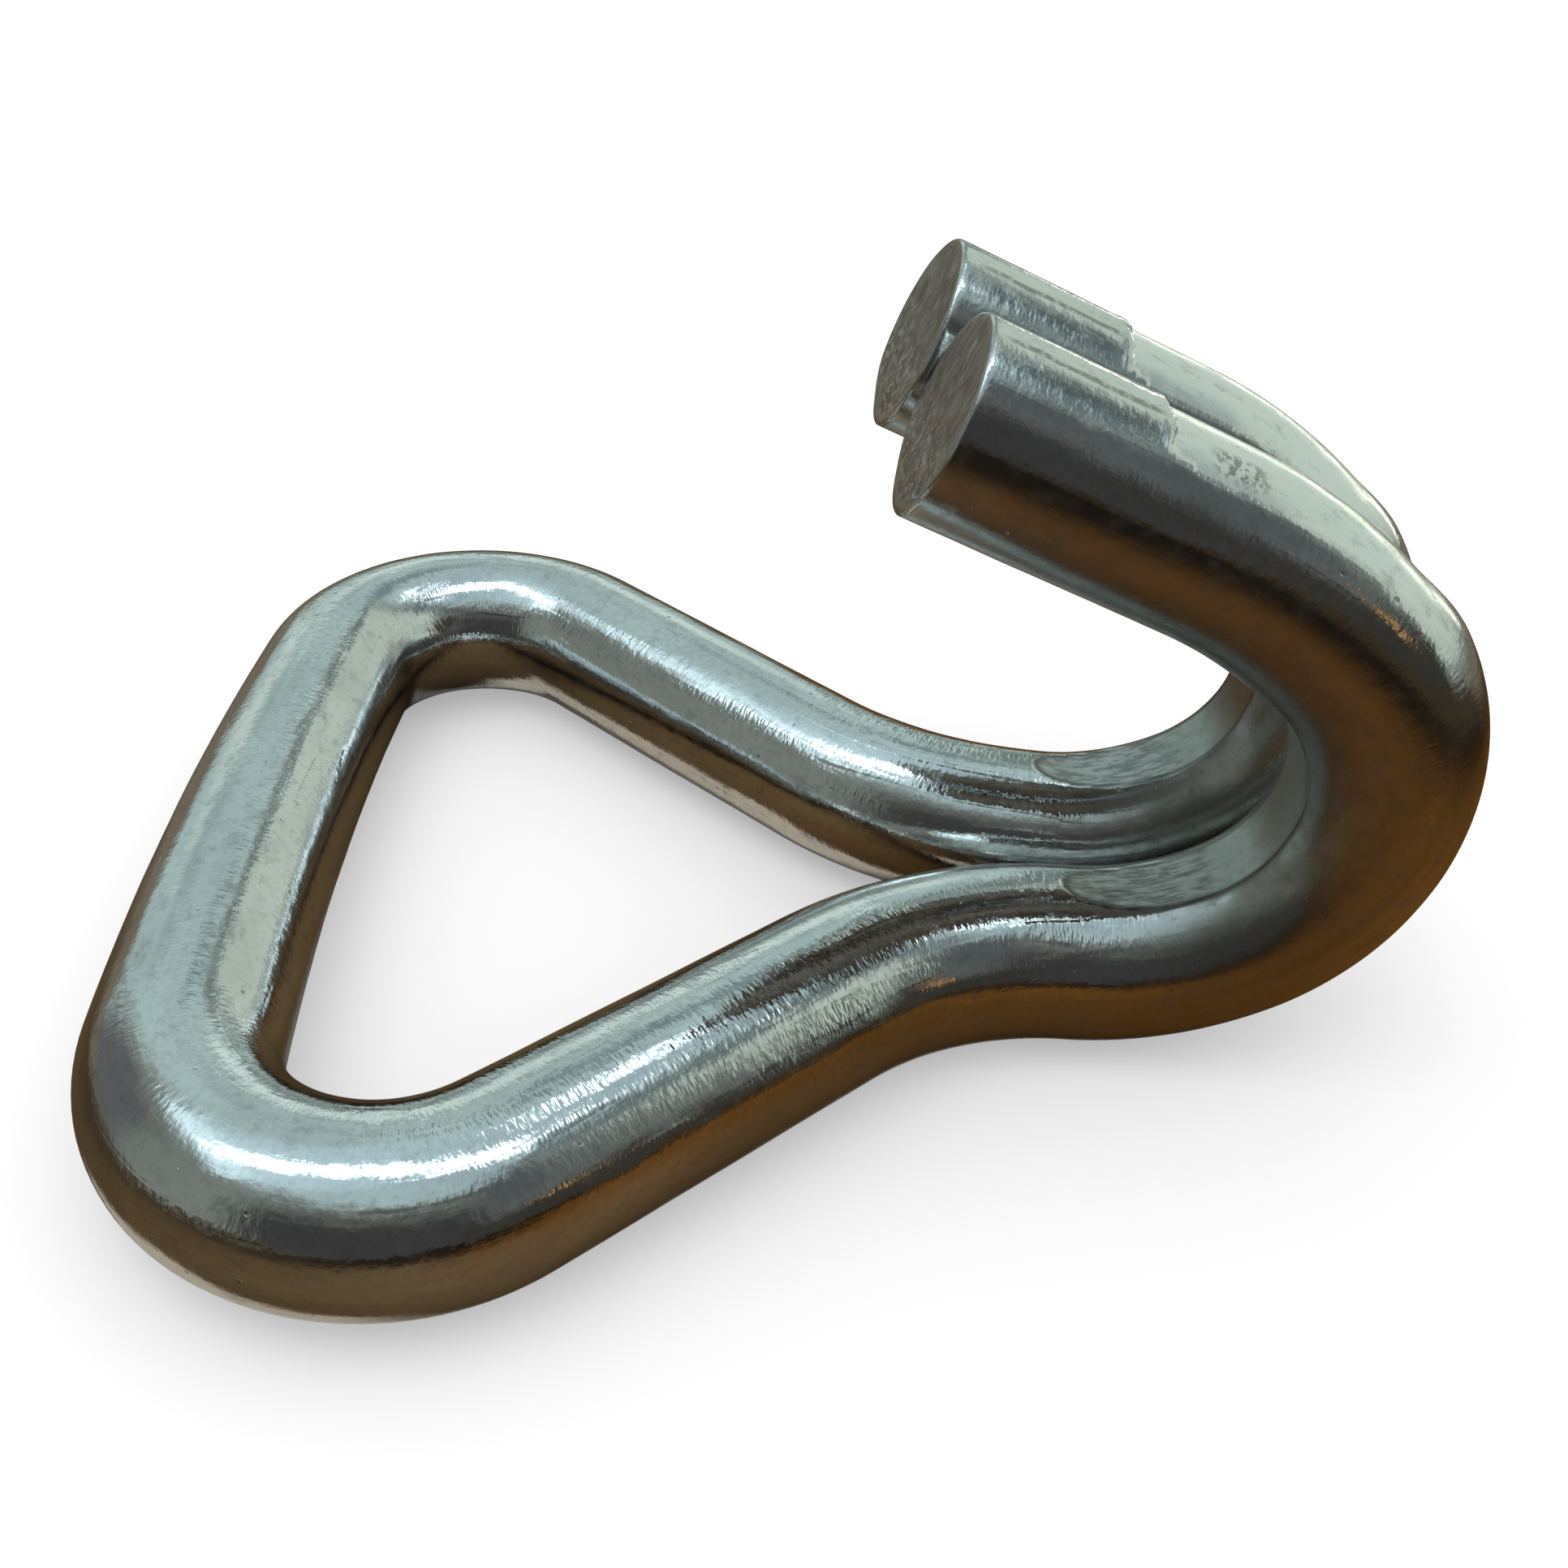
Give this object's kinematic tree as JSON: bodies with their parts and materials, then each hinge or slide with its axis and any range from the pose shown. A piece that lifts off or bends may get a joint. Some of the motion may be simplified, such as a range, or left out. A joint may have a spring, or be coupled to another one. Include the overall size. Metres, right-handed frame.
{
  "type": "double-J wire hook",
  "caption": "Strap end hook bent from one round steel bar: a triangular webbing eye whose two legs run together and curl side by side into a J hook.",
  "frame": {"origin": "centre of the hook's seat: the axis of the anchor bar that the hook hangs on, midway between the two legs", "axes": "+X along the hook's length, from the webbing crossbar towards the hook's crown; +Y along the anchor bar and across the two legs; +Z from the webbing eye's plane up towards the two cut ends"},
  "size_m": [0.0428, 0.0386, 0.0246],
  "materials": {
    "bar_steel": "zinc-bright or stainless steel bar, polished along its length and fine-scratched, with matt pressed lands and dull sheared ends"
  },
  "bodies": {
    "root": {"hook_bar": "bar_steel"}
  },
  "joints": []
}
